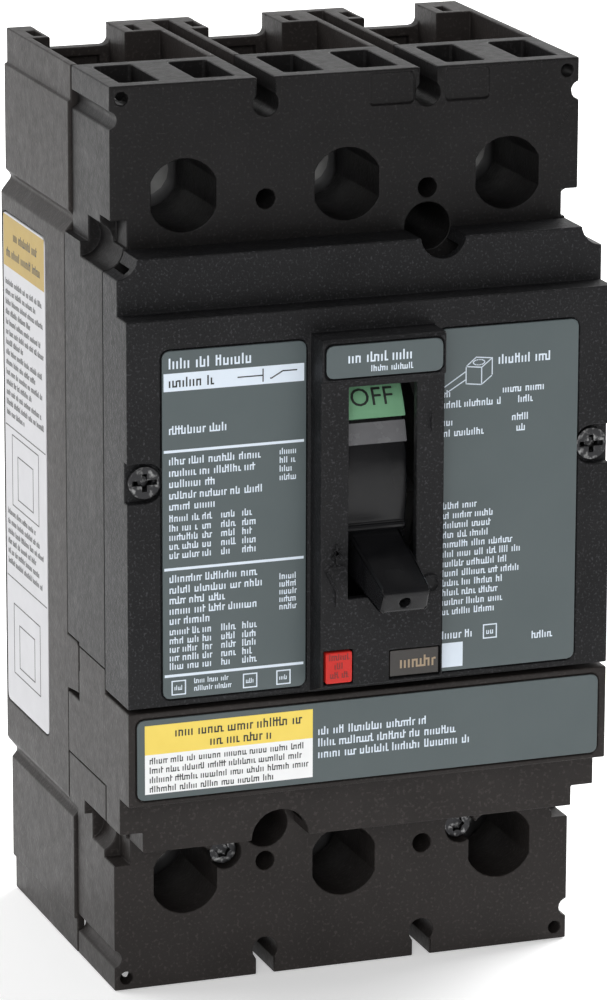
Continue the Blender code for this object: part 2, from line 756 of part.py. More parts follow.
def contact_rotor(axis):
    """Moulded crossbar with a drum in each pole, and a crank pin on the middle drum."""
    shaft = cylinder(0, 0, 4.5, (-42.5, 42.5), "x", 16)
    rotor = add("contact_rotor", shaft, ROTOR_PLASTIC, axis)
    drums = [
        cylinder(0, 0, ROTOR_RADIUS, (middle - 7.5, middle + 7.5), "x", 24)
        for middle in POLES.values()
    ]
    angle = ROTOR_OFF - CRANK_OFF
    pin = (CRANK * math.cos(angle), CRANK * math.sin(angle))
    drums.append(cylinder(*pin, 1.5, (-9.9, 9.9), "x", 12))
    fuse(rotor, "drums", drums, axis)
    slots = []
    for middle in POLES.values():
        slots.append(block((middle - 4.4, -3.0, -15), (middle + 4.4, 3.0, 15)))
    cut(rotor, "slots", slots, axis)
    for pole, middle in POLES.items():
        outline = rounded([
            (-2.2, -BLADE_REACH, 1),
            (2.2, -BLADE_REACH, 1),
            (3.2, -21),
            (3.2, -17),
            (2.2, -16),
            (2.2, BLADE_REACH, 1),
            (-2.2, BLADE_REACH, 1),
            (-3.2, 21),
            (-3.2, 17),
            (-2.2, 16),
        ])
        blade = prism(outline, (middle - 4, middle + 4), "x")
        add(f"moving_contact_{pole}", blade, COPPER, axis)


def turned(radius, angle):
    return (radius * math.cos(angle), radius * math.sin(angle))


def toggle(axis):
    """Black toggle: finger lever, curved shield that closes the window, and its root."""
    outside = arc((0, 0), SHIELD_RADIUS, -SHIELD_SPREAD, SHIELD_SPREAD, 22)
    inside = arc((0, 0), SHIELD_RADIUS - 1.8, SHIELD_SPREAD, -SHIELD_SPREAD, 22)
    handle = add("toggle_handle", prism(outside + inside, (-6.7, 6.7), "x"), HANDLE_BLACK, axis)
    sections = []
    for depth, half, low, high in (
        (SHIELD_RADIUS - 0.9, 5.6, -5.3, 3.6),
        (55.8, 5.1, -2.2, 3.6),
        (56.8, 5.05, -1.9, 3.1),
        (57.2, 4.9, -1.6, 2.1),
    ):
        outline = rectangle(-half, low, half, high, 0.4)
        sections.append([(x, depth, z) for x, z in outline])
    root = block((-2, 24, -2.5), (2, SHIELD_RADIUS - 0.9, 2.5))
    low, high = math.radians(-9), math.radians(4.2)
    step = arc((0, 0), SHIELD_RADIUS + 0.8, low, high, 3)
    step += arc((0, 0), SHIELD_RADIUS - 0.9, high, low, 3)
    rib = cylinder(*turned(SHIELD_RADIUS - 0.1, math.radians(7.1)), 0.9, (-6.7, 6.7), "x", 12)
    lever = [loft(sections), root, prism(step, (-6.7, 6.7), "x"), rib]
    fuse(handle, "lever", lever, axis)
    hole = cylinder(0, 0.4, 1.2, (54.5, 59), sides=12)
    cut(handle, "tip_hole", [hole], axis)
    smooth(handle)
    for name, side, finish in (("off_flag", 1, GREEN), ("on_flag", -1, LABEL_WHITE)):
        start, end = math.radians(42.6) * side, math.radians(55.5) * side
        plate = arc((0, 0), SHIELD_RADIUS + 1.1, start, end, 5)
        plate += arc((0, 0), SHIELD_RADIUS + FIT, end, start, 5)
        flag = add(name, prism(plate, (-6.7, 6.7), "x"), finish, axis)
        smooth(flag)


def handle_yoke(axis):
    """Steel fork that carries the toggle and turns on the pivot pin, with the knee pin's ears."""
    knee = turned(CRANK, HANDLE_OFF - CRANK_OFF)
    plan = rounded([
        (29, -7),
        (29, 7),
        (20, 7),
        (0, 4.5, 3),
        (-4.5, 0, 3),
        (-1, -5),
        (knee[0] - 3.4, knee[1] - 1),
        (knee[0], knee[1] - 3.6, 2),
        (knee[0] + 3.6, knee[1]),
        (20, -7),
    ])
    yoke = add("handle_yoke", prism(plan, (-11.4, 11.4), "x"), STEEL, axis)
    between = block((-10, -12, -14), (10, 27.2, 14))
    clip = block((-2.3, 20, -2.8), (2.3, 32, 2.8))
    pin_hole = cylinder(0, 0, 2.3, (-13, 13), "x", 12)
    knee_hole = cylinder(*knee, 1.7, (-13, 13), "x", 12)
    cut(yoke, "openings", [between, clip, pin_hole, knee_hole], axis)
    add("knee_pin", cylinder(*knee, 1.5, (-11.8, 11.8), "x", 12), STEEL, axis)
    start = Vector((0, knee[0], knee[1]))
    along = Vector((0, 26.2, 1.5)) - start
    for name, x in (("left", -5.4), ("right", 5.4)):
        foot = start + along.normalized() * 3.1 + Vector((x, 0, 0))
        spring = coil(foot, along, 1.7, 0.42, 6, along.length - 4.4)
        made = add(f"main_spring_{name}", spring, STEEL, axis)
        smooth(made, 80)


def drive_links(axis):
    """Two parallel links from the knee pin to the rotor's crank pin."""
    reach = Vector(ROTOR_AXIS) - Vector(HANDLE_AXIS)
    along = math.atan2(reach.y, reach.x)
    outline = arc((0, 0), 3, along - math.pi * 1.5, along - math.pi / 2, 8)
    outline += arc(tuple(reach), 3, along - math.pi / 2, along + math.pi / 2, 8)
    for name, side in (("left", -1), ("right", 1)):
        ends = sorted((side * 8.0, side * 9.6))
        link = add(f"drive_link_{name}", prism(outline, ends, "x"), STEEL, axis)
        wide = sorted((side * 7, side * 11))
        holes = [cylinder(*place, 1.8, wide, "x", 14) for place in ((0, 0), tuple(reach))]
        cut(link, "holes", holes, axis)


def mechanism_frame():
    """Side plates that carry the handle's pivot pin."""
    for name, side in (("left", -1), ("right", 1)):
        outline = rounded([
            (45.6, 88),
            (66, 84, 3),
            (80, 96),
            (80, 122),
            (66, 134, 3),
            (45.6, 130),
        ])
        ends = sorted((side * 12.2, side * 13.7))
        plate = add(f"mechanism_plate_{name}", prism(outline, ends, "x"), STEEL)
        wide = sorted((side * 11, side * 15))
        holes = [
            cylinder(*HANDLE_AXIS, 2.3, wide, "x", 12),
            cylinder(68, 120, 3.5, wide, "x", 12),
            cylinder(68, 98, 3.5, wide, "x", 12),
        ]
        cut(plate, "holes", holes)
    pin = cylinder(*HANDLE_AXIS, 2.0, (-14.1, 14.1), "x", 16)
    add("handle_pivot_pin", pin, STEEL)


def trip_parts():
    """Push-to-trip button and its return spring, and the trip bar with its three iron flaps."""
    low_x, low_z, high_x, high_z = BUTTON
    origin = (STEM[0], NOSE_FACE, STEM[1])
    cap = block((low_x, 87.4, low_z), (high_x, NOSE_FACE + 0.3, high_z), 0.4)
    button = add("trip_button", cap, RED, origin=origin)
    stem = cylinder(*STEM, 1.5, (53.2, 88), sides=12)
    fuse(button, "stem", [stem])
    spring = coil((STEM[0], 71.2, STEM[1]), (0, 1, 0), 2.3, 0.35, 6, 15.6)
    made = add("trip_button_spring", spring, STEEL)
    smooth(made, 80)

    middle = (0, *TRIP_AXIS)
    rod = cylinder(*TRIP_AXIS, 2.6, (-49.3, 49.3), "x", 16)
    bar = add("trip_bar", rod, BLACK_COVER, origin=middle)
    pieces = [cylinder(*TRIP_AXIS, 1.4, (-51, 51), "x", 12)]
    for x in POLES.values():
        pieces.append(block((x - 12, 46.6, 48.2), (x + 12, 48.6, 60.4)))
    pieces.append(block((-12, 50.6, 50), (-7, 52.8, 74.6)))
    pieces.append(block((6, 49.4, 50), (10, 51.8, 61.2)))
    fuse(bar, "flaps", pieces)


def build():
    for old in list(bpy.data.objects):
        bpy.data.objects.remove(old)
    base_case()
    main_cover()
    accessory_cover()
    trip_unit_cover()
    load_terminal_block()
    labels()
    case_screws()
    current_path()
    magnet_yokes()
    arc_chutes()
    contact_rotor(axis_empty("rotor_axis", ROTOR_AXIS, ROTOR_OFF))
    handle_axis = axis_empty("handle_axis", HANDLE_AXIS, HANDLE_OFF)
    toggle(handle_axis)
    handle_yoke(handle_axis)
    knee = Vector(HANDLE_AXIS) + Vector(turned(CRANK, -CRANK_OFF))
    drive_links(axis_empty("knee_axis", tuple(knee), 0))
    mechanism_frame()
    trip_parts()


build()
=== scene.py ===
import json
import math
import random

import bmesh
import bpy
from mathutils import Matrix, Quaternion, Vector
from mathutils.bvhtree import BVHTree

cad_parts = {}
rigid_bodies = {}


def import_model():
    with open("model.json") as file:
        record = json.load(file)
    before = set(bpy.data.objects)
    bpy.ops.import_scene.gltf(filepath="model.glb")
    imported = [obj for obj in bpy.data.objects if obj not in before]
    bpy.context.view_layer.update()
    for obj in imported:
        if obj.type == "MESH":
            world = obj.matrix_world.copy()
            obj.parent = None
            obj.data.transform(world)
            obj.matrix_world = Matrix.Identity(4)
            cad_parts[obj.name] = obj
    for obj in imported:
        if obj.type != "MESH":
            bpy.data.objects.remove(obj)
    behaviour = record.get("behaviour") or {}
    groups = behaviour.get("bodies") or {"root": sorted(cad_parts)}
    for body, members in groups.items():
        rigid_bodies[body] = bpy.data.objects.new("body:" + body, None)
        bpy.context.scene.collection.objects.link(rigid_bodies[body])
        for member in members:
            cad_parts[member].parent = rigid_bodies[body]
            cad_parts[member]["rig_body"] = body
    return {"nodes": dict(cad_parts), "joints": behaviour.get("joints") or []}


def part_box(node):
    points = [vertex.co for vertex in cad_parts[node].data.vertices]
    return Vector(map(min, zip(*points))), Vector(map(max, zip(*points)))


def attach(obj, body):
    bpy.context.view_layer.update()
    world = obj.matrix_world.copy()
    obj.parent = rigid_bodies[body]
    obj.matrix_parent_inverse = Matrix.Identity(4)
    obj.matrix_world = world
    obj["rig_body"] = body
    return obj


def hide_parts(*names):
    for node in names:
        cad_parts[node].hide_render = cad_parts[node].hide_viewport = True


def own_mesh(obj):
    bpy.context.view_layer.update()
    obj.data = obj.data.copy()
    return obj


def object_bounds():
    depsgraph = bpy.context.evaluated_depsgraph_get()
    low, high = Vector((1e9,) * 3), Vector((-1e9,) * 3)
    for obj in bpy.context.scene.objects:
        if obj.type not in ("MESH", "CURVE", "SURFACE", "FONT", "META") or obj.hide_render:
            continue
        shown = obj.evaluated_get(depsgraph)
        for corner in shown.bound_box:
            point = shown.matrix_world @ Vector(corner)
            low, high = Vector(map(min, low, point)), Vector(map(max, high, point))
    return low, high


for leftover in list(bpy.data.objects):
    bpy.data.objects.remove(leftover)

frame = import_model()
cad_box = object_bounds()


# Camera: a long lens a little over a metre away, to the left of the breaker and above it, so that
# the front, the left side and the line terminals are all seen.

LENS = 198.15
CAMERA_REACH = 1.1432
CAMERA_TURN, CAMERA_RISE = math.radians(19.776), math.radians(15.127)
CAMERA_ROLL = math.radians(0.167)
low, high = cad_box
aim = Vector((-0.00546, (low.y + high.y) / 2 - 0.006925, 0.0992))
back = Vector((
    -math.sin(CAMERA_TURN) * math.cos(CAMERA_RISE),
    -math.cos(CAMERA_TURN) * math.cos(CAMERA_RISE),
    math.sin(CAMERA_RISE),
))
camera = bpy.data.objects.new("camera", bpy.data.cameras.new("camera"))
camera.data.lens = LENS
camera.data.clip_start = 0.05
camera.location = aim + back * CAMERA_REACH
camera.rotation_mode = "QUATERNION"
camera.rotation_quaternion = (-back).to_track_quat("-Z", "Y") @ Quaternion((0, 0, 1), CAMERA_ROLL)
bpy.context.scene.collection.objects.link(camera)
bpy.context.scene.camera = camera
bpy.context.scene.view_settings.view_transform = "Standard"


# Studio: a white paper sweep, lit from both sides behind the breaker and glowing a little of its own.
# A large soft box in front lights the labels, and weaker ones at the sides draw the edges.


def soft_box(name, place, target, size, power):
    """A rectangular lamp that faces a target."""
    lamp = bpy.data.objects.new(name, bpy.data.lights.new(name, "AREA"))
    lamp.data.shape = "RECTANGLE"
    lamp.data.size, lamp.data.size_y = size
    lamp.data.energy = power
    lamp.location = place
    lamp.rotation_mode = "QUATERNION"
    lamp.rotation_quaternion = (Vector(target) - Vector(place)).to_track_quat("-Z", "Y")
    bpy.context.scene.collection.objects.link(lamp)


soft_box("front_soft_box", (-0.55, -1.5, 0.75), aim, (0.9, 0.9), 12.5)
soft_box("left_soft_box", (-1.15, -0.25, 0.35), aim, (1.0, 0.9), 1)
soft_box("right_soft_box", (1.2, 0.1, 0.6), aim, (0.5, 1.0), 2)
soft_box("floor_light_left", (-1.2, 0.85, 1.1), (-0.1, 0.4, 0), (1.2, 1.2), 14)
soft_box("floor_light_right", (1.2, 0.75, 1.1), (-0.1, 0.35, 0), (1.2, 1.2), 38)

studio = bpy.data.worlds.new("studio")
studio.use_nodes = True
studio.node_tree.nodes["Background"].inputs["Color"].default_value = (1, 1, 1, 1)
studio.node_tree.nodes["Background"].inputs["Strength"].default_value = 0.14
bpy.context.scene.world = studio

SWEEP_HALF, SWEEP_DEPTH, SWEEP_HEIGHT, SWEEP_BEND = 4.0, 3.0, 3.5, 0.8
SWEEP_STEPS = 12
SWEEP_BELOW_FOOT = 0.0002
sweep_shape = bmesh.new()
profile = [(-SWEEP_HALF, 0.0), (SWEEP_DEPTH - SWEEP_BEND, 0.0)]
for step in range(1, SWEEP_STEPS + 1):
    turn = math.radians(90) * step / SWEEP_STEPS
    profile.append((
        SWEEP_DEPTH - SWEEP_BEND + SWEEP_BEND * math.sin(turn),
        SWEEP_BEND - SWEEP_BEND * math.cos(turn),
    ))
profile.append((SWEEP_DEPTH, SWEEP_HEIGHT))
near, far = (
    [sweep_shape.verts.new((x, y, z - SWEEP_BELOW_FOOT)) for y, z in profile]
    for x in (-SWEEP_HALF, SWEEP_HALF)
)
for index in range(1, len(profile)):
    sweep_shape.faces.new((near[index - 1], far[index - 1], far[index], near[index]))
sweep_mesh = bpy.data.meshes.new("sweep")
sweep_shape.to_mesh(sweep_mesh)
sweep_shape.free()
sweep_mesh.shade_smooth()
sweep = bpy.data.objects.new("sweep", sweep_mesh)
bpy.context.scene.collection.objects.link(sweep)
paper = bpy.data.materials.new("sweep_paper")
paper.use_nodes = True
paper_shader = paper.node_tree.nodes["Principled BSDF"]
paper_shader.inputs["Base Color"].default_value = (0.93, 0.93, 0.93, 1)
paper_shader.inputs["Roughness"].default_value = 0.9
paper_shader.inputs["Emission Color"].default_value = (1, 1, 1, 1)
paper_shader.inputs["Emission Strength"].default_value = 0.36
sweep_mesh.materials.append(paper)


# Base: the rear tray, moulded in brownish black glass-filled polyester. Its walls show faint flow
# marks from the mould, and its edges carry the small radius that lets it leave the tool.

MM = 0.001


class Shade:
    """A socket of a finish's nodes. Arithmetic on it adds Math nodes."""

    def __init__(self, finish, socket):
        self.finish = finish
        self.socket = socket

    def math(self, operation, *values):
        settings = {"operation": operation}
        return self.finish.node("ShaderNodeMath", settings, dict(enumerate(values)))

    def __add__(self, other):
        return self.math("ADD", self, other)

    def __sub__(self, other):
        return self.math("SUBTRACT", self, other)

    def __rsub__(self, other):
        return self.math("SUBTRACT", other, self)

    def __mul__(self, other):
        return self.math("MULTIPLY", self, other)

    __radd__ = __add__
    __rmul__ = __mul__

    def clamped(self, low, high):
        """0 below low, 1 above high, and a straight ramp between."""
        settings = {"clamp": True}
        values = {"Value": self, "From Min": low, "From Max": high}
        return self.finish.node("ShaderNodeMapRange", settings, values)


class Finish:
    """A material, made from its shader's fixed values and the nodes that vary over the surface."""

    def __init__(self, name, **fixed):
        self.material = bpy.data.materials.new(name)
        self.material.use_nodes = True
        self.tree = self.material.node_tree
        self.shader = self.tree.nodes["Principled BSDF"]
        for socket, value in fixed.items():
            self.shader.inputs[socket.replace("_", " ")].default_value = value

    def node(self, kind, settings, values, output=0):
        """Add a node: its settings come first, and then its inputs' values or links."""
        made = self.tree.nodes.new(kind)
        for name, value in settings.items():
            setattr(made, name, value)
        for name, value in values.items():
            self.put(made.inputs[name], value)
        return Shade(self, made.outputs[output])

    def put(self, socket, value):
        if isinstance(value, Shade):
            self.tree.links.new(value.socket, socket)
        elif socket.type == "RGBA":
            socket.default_value = (*value, 1)
        else:
            socket.default_value = value

    def noise(self, size, detail=3, stretch=(1, 1, 1)):
        """Cloudy noise from 0 to 1, whose patches are about `size` metres across."""
        place = self.node("ShaderNodeTexCoord", {}, {}, "Object")
        place = self.node("ShaderNodeMapping", {}, {"Vector": place, "Scale": stretch})
        values = {"Vector": place, "Scale": 1 / size, "Detail": detail}
        return self.node("ShaderNodeTexNoise", {}, values, "Fac")

    def blend(self, share, first, second):
        """Mix two colours, from the first where share is 0 to the second where it is 1."""
        settings = {"data_type": "RGBA"}
        values = {0: share, 6: first, 7: second}
        return self.node("ShaderNodeMix", settings, values, 2)

    def wear(self, colour, roughness, height=None, depth=0.0):
        """Link what varies: colour and roughness, and a height in parts of `depth` metres."""
        self.put(self.shader.inputs["Base Color"], colour)
        self.put(self.shader.inputs["Roughness"], roughness)
        if height is not None:
            values = {"Height": height, "Distance": depth, "Strength": 1.0}
            self.put(self.shader.inputs["Normal"], self.node("ShaderNodeBump", {}, values))
        return self.material


def moulded(name, dark, light, roughness, grain, grain_depth, glint_speckle=0.0):
    """A moulded thermoset: cloudy colour, fine grain, scuffed glossier patches and painted glints."""
    finish = Finish(name, Specular_IOR_Level=0.15)
    cloud = finish.noise(18 * MM)
    scuff = finish.noise(6 * MM, 5, (1, 1, 0.7)).clamped(0.56, 0.72)
    texture = finish.noise(grain, 2)
    fine = finish.noise(grain * 3.1, 3)
    tint = finish.blend(cloud.clamped(0.3, 0.7), dark, light)
    # Bright specks painted into the colour where the grain would catch the light: painted glints.
    if glint_speckle:
        painted_glints = texture.clamped(0.56, 0.72) * glint_speckle
        tint = finish.blend(painted_glints, tint, [min(1, part * 3.4) for part in light])
    sheen = roughness + (fine - 0.5) * 0.2 - scuff * 0.05
    return finish.wear(tint, sheen, texture + fine * 0.5, grain_depth)


def placed(name, mesh, material, body):
    """Put a finished mesh in the scene as a piece that rides on a body."""
    mesh.materials.clear()
    mesh.materials.append(material)
    piece = bpy.data.objects.new(name, mesh)
    bpy.context.scene.collection.objects.link(piece)
    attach(piece, body)
    return piece


WELD_GAP = 0.002 * MM
FLAT_ANGLE, EDGE_ANGLE, SHARP_ANGLE = math.radians(1), math.radians(28), math.radians(50)


def softened(node, name, radius, material):
    """Stand in for a CAD node with a copy whose flats are joined up and whose edges are rounded."""
    cad = frame["nodes"][node]
    mesh = cad.data.copy()
    shape = bmesh.new()
    shape.from_mesh(mesh)
    bmesh.ops.remove_doubles(shape, verts=shape.verts, dist=WELD_GAP)
    surface = BVHTree.FromBMesh(shape)
    bmesh.ops.dissolve_limit(
        shape, angle_limit=FLAT_ANGLE, verts=shape.verts, edges=shape.edges, delimit=set()
    )
    bmesh.ops.triangulate(shape, faces=[face for face in shape.faces if len(face.verts) > 4])
    shape.to_mesh(mesh)
    shape.free()
    blank = bpy.data.objects.new(name, mesh)
    bpy.context.scene.collection.objects.link(blank)
    edges = blank.modifiers.new("edges", "BEVEL")
    edges.width = radius
    edges.segments = 2
    edges.limit_method = "ANGLE"
    edges.angle_limit = EDGE_ANGLE
    edges.use_clamp_overlap = False
    bpy.context.view_layer.update()
    graph = bpy.context.evaluated_depsgraph_get()
    rounded = bpy.data.meshes.new_from_object(blank.evaluated_get(graph))
    bpy.data.objects.remove(blank)
    # Where edges crowd together a rounded corner can overshoot, so it goes back to the surface.
    for vertex in rounded.vertices:
        place, _, _, gap = surface.find_nearest(vertex.co)
        if gap > radius / 2:
            vertex.co = place
    rounded.shade_smooth()
    rounded.set_sharp_from_angle(angle=SHARP_ANGLE)
    piece = placed(name, rounded, material, cad["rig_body"])
    normals = piece.modifiers.new("normals", "WEIGHTED_NORMAL")
    normals.keep_sharp = True
    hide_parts(node)


phenolic = moulded(
    "phenolic", (0.0200, 0.0174, 0.0164), (0.027, 0.0236, 0.0224), 0.44, 0.0007, 0.00006, 0.3
)
softened("base_case", "base_moulding", 0.30 * MM, phenolic)


# Conductors: bare copper straps, stamped and bent, one at each end of each pole. The surface has
# the long fine lines of the rolled strip and slightly darker, oxidised clouds.


def metal(name, dark, light, roughness, stretch, **fixed):
    """A bare or plated metal, with fine lines along one direction and a cloudy tarnish."""
    finish = Finish(name, Metallic=1.0, **fixed)
    lines = finish.noise(1.6 * MM, 4, stretch)
    cloud = finish.noise(7 * MM, 3)
    tint = finish.blend(cloud.clamped(0.3, 0.7), dark, light)
    return finish.wear(tint, roughness + (lines - 0.5) * 0.22, lines, 0.02 * MM)


def refinish(nodes, material):
    """Give CAD nodes that keep their own shape a detailed finish."""
    for node in nodes:
        mesh = frame["nodes"][node].data
        mesh.materials.clear()
        mesh.materials.append(material)


def per_pole(*stems):
    """The names of the nodes that come once in each pole."""
    return [f"{stem}_{pole}" for stem in stems for pole in ("left", "center", "right")]


copper = metal("copper", (0.50, 0.20, 0.10), (0.80, 0.40, 0.24), 0.34, (1, 1, 0.08))
refinish(per_pole("line_strap", "load_strap", "moving_contact"), copper)


# Box lugs and their clamping screws: tin-plated extruded aluminium, drilled and tapped, with a
# zinc-plated hexagon socket screw that comes down on the cable.

aluminium = metal("lug_aluminium", (0.20, 0.20, 0.205), (0.32, 0.32, 0.325), 0.40, (1, 1, 0.06))
for lug in per_pole("line_lug", "load_lug"):
    softened(lug, f"{lug}_extrusion", 0.25 * MM, aluminium)

zinc = metal("zinc_plate", (0.36, 0.36, 0.36), (0.55, 0.55, 0.53), 0.38, (1, 1, 1))
refinish(per_pole("line_lug_screw", "load_lug_screw"), zinc)


# Arc chutes and magnet yokes: steel splitter plates riveted into side boards, one chute round the
# contacts of each pole, and a bent iron yoke in front of each load strap.

splitter = metal("splitter_steel", (0.16, 0.16, 0.165), (0.31, 0.30, 0.29), 0.45, (0.1, 1, 1))
refinish(per_pole("arc_chute"), splitter)
refinish(per_pole("magnet_yoke"), zinc)


# Contact rotor: one crossbar for the three poles, moulded in a tan glass-filled polyester that
# stands up to arcs, with short fibres showing in its surface.

rotor_tan = moulded("rotor_tan", (0.23, 0.17, 0.11), (0.33, 0.26, 0.18), 0.46, 0.0007, 0.00003)
softened("contact_rotor", "rotor_moulding", 0.2 * MM, rotor_tan)


# Mechanism: zinc-plated steel plates, fork, links and pins, with two wound springs beside the
# knee. The springs are bright drawn wire.

refinish(
    ["mechanism_plate_left", "mechanism_plate_right", "handle_yoke", "handle_pivot_pin"]
    + ["knee_pin", "drive_link_left", "drive_link_right"],
    zinc,
)
drawn_wire = metal("drawn_wire", (0.34, 0.34, 0.35), (0.5, 0.5, 0.5), 0.27, (0.2, 0.2, 0.2))
refinish(["main_spring_left", "main_spring_right"], drawn_wire)


# Main cover: the middle moulding, with the line terminal front. The same polyester, in a cooler
# and slightly darker black, screwed down on the base.

cover_black = moulded(
    "cover_black", (0.0082, 0.0077, 0.0078), (0.0115, 0.0108, 0.0110), 0.43, 0.0006, 0.00006, 0.5
)
softened("main_cover", "main_cover_moulding", 0.30 * MM, cover_black)


# Accessory cover: the front moulding around the handle. Its tool is spark-eroded, which leaves a
# coarse grain; the fine specks where it catches the light are painted glints in its colour.

grained = moulded(
    "grained_black", (0.0088, 0.0088, 0.0095), (0.0130, 0.0130, 0.0140), 0.46, 0.00050, 0.00010, 0.9
)
softened("accessory_cover", "accessory_cover_moulding", 0.30 * MM, grained)


# Trip unit cover and load terminal front: two lower mouldings, in the base's brownish black. The
# cover is clipped over the trip parts and the terminal front is held by two screws.

softened("trip_unit_cover", "trip_cover_moulding", 0.30 * MM, phenolic)
softened("load_terminal_block", "load_terminal_moulding", 0.30 * MM, phenolic)


# Trip bar: a black moulded shaft across the three poles, with a flap in front of each yoke. It
# is only seen with the covers off.

softened("trip_bar", "trip_bar_moulding", 0.15 * MM, cover_black)


# Cover screws: blackened pan heads, crossed in the accessory cover and six-pointed in the load
# terminal front. The black is rubbed bright where the driver has turned.

oxide = Finish("black_oxide", Metallic=1.0)
rubbed = oxide.noise(0.0011, 4).clamped(0.52, 0.70)
oxide.wear(
    oxide.blend(rubbed, (0.045, 0.045, 0.047), (0.24, 0.24, 0.24)),
    rubbed * -0.14 + 0.46,
    oxide.noise(0.0006, 3),
    0.00004,
)
for side in ("left", "right"):
    for stem in ("accessory_cover_screw", "terminal_block_screw"):
        softened(f"{stem}_{side}", f"{stem}_{side}_head", 0.12 * MM, oxide.material)


# Toggle handle: glossy black moulding with a hollow tip and a curved shield that closes the
# window as it swings. Handling has polished it, and it shows faint smears.

glossy = Finish("handle_gloss", Specular_IOR_Level=0.27)
smear = glossy.noise(0.009, 5, (1, 1, 0.3))
glossy.wear(
    glossy.blend(smear.clamped(0.35, 0.7), (0.0060, 0.0060, 0.0068), (0.0105, 0.0105, 0.0115)),
    smear * 0.16 + 0.14,
    glossy.noise(0.0022, 2),
    0.00003,
)
softened("toggle_handle", "handle_moulding", 0.45 * MM, glossy.material)

joints = {joint["name"]: joint for joint in frame["joints"]}
handle_axis = Vector(joints["handle_turn"]["pos_m"])
SHIELD_RADIUS = 36.6 * MM
BAND_STEPS = 14


def swept_band(name, radius, thick, start, end, half, material):
    """A thin strip that lies round the handle's axis, from angle start to end above level."""
    band = bmesh.new()
    rings = []
    for step in range(BAND_STEPS + 1):
        angle = math.radians(start + (end - start) * step / BAND_STEPS)
        ring = []
        for x, reach in ((-half, 0), (half, 0), (half, thick), (-half, thick)):
            out = radius + reach
            place = (x, -out * math.cos(angle), out * math.sin(angle))
            ring.append(band.verts.new(handle_axis + Vector(place)))
        rings.append(ring)
    band.faces.new(rings[0])
    band.faces.new(rings[-1])
    for first, second in zip(rings, rings[1:]):
        for index in range(4):
            band.faces.new((first[index - 1], first[index], second[index], second[index - 1]))
    bmesh.ops.recalc_face_normals(band, faces=band.faces)
    mesh = bpy.data.meshes.new(name)
    band.to_mesh(mesh)
    band.free()
    mesh.shade_smooth()
    mesh.set_sharp_from_angle(angle=SHARP_ANGLE)
    placed(name, mesh, material, "handle")


# A grey band round the shield below the flag, where the glossy black shield mirrors the front soft
# box: a painted reflection, in grey colour.
painted_reflection_grey = Finish("shield_reflection_paint", Specular_IOR_Level=0.6)
painted_reflection_grey.wear(
    painted_reflection_grey.blend(painted_reflection_grey.noise(0.004, 3), (0.105, 0.105, 0.110), (0.160, 0.160, 0.168)),
    painted_reflection_grey.noise(0.002, 3) * 0.1 + 0.22,
)
swept_band(
    "painted_shield_reflection", SHIELD_RADIUS + 0.1 * MM, 0.6 * MM, 13.6, 20.4, 6.6 * MM,
    painted_reflection_grey.material,
)


# Position flags: thin printed plates on the shield, green for OFF and white for ON. Only the
# generic switch word is drawn, in raised dark ink that is bent round with the plate.

green = Finish("flag_green", Specular_IOR_Level=0.5)
green.wear(
    green.blend(green.noise(0.003, 3), (0.15, 0.34, 0.19), (0.20, 0.42, 0.25)),
    green.noise(0.0014, 3) * 0.12 + 0.36,
)
refinish(["off_flag"], green.material)

white_film = Finish("white_film")
white_film.wear(
    white_film.blend(white_film.noise(0.006, 4), (0.84, 0.845, 0.85), (0.91, 0.915, 0.92)),
    white_film.noise(0.002, 3) * 0.14 + 0.40,
)
refinish(["on_flag"], white_film.material)

ink = Finish("dark_ink")
ink.wear(
    ink.blend(ink.noise(0.002, 2), (0.010, 0.012, 0.011), (0.022, 0.025, 0.023)),
    ink.noise(0.001, 2) * 0.1 + 0.4,
)

FLAG_FACE = SHIELD_RADIUS + 1.1 * MM


def flag_word(name, word, flag, middle_angle):
    """The word, cut from flat letters and bent round the handle's axis onto its flag."""
    letters = bpy.data.curves.new(name, "FONT")
    letters.body = word
    letters.size = 5.4 * MM
    letters.align_x, letters.align_y = "CENTER", "CENTER"
    letters.extrude = 0.04 * MM
    letters.resolution_u = 3
    flat = bpy.data.objects.new(name, letters)
    bpy.context.scene.collection.objects.link(flat)
    bpy.context.view_layer.update()
    graph = bpy.context.evaluated_depsgraph_get()
    mesh = bpy.data.meshes.new_from_object(flat.evaluated_get(graph))
    bpy.data.objects.remove(flat)
    low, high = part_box(flag)
    middle = (low.x + high.x) / 2
    for vertex in mesh.vertices:
        angle = math.radians(middle_angle) + vertex.co.y / FLAG_FACE
        out = FLAG_FACE + vertex.co.z + 0.01 * MM
        place = (middle + vertex.co.x, -out * math.cos(angle), out * math.sin(angle))
        vertex.co = handle_axis + Vector(place)
    placed(name, mesh, ink.material, "handle")


flag_word("off_word", "OFF", "off_flag", 28.0)
flag_word("on_word", "ON", "on_flag", -70.0)


# Trip button: a glossy red moulding that stands 0.3 mm proud of the nose, with three embossed
# rows of plain marks in its face.


def slab(shape, low, high):
    """Add a closed box between two corners."""
    corners = [
        shape.verts.new((x, y, z))
        for x in (low[0], high[0])
        for y in (low[1], high[1])
        for z in (low[2], high[2])
    ]
    for face in ((0, 1, 3, 2), (4, 6, 7, 5), (0, 4, 5, 1), (2, 3, 7, 6), (0, 2, 6, 4), (1, 5, 7, 3)):
        shape.faces.new([corners[index] for index in face])


def raised(name, slabs, material, body="case"):
    """One piece made of slabs, each given by its two corners."""
    shape = bmesh.new()
    for low, high in slabs:
        slab(shape, low, high)
    bmesh.ops.recalc_face_normals(shape, faces=shape.faces)
    mesh = bpy.data.meshes.new(name)
    shape.to_mesh(mesh)
    shape.free()
    placed(name, mesh, material, body)


SUNK = 0.02 * MM


def front_marks(name, marks, face, thick, material, body="case"):
    """Thin raised marks (left, bottom, right, top) in millimetres on a face that looks to -Y."""
    slabs = [
        ((left * MM, face - thick, bottom * MM), (right * MM, face + SUNK, top * MM))
        for left, bottom, right, top in marks
    ]
    raised(name, slabs, material, body)


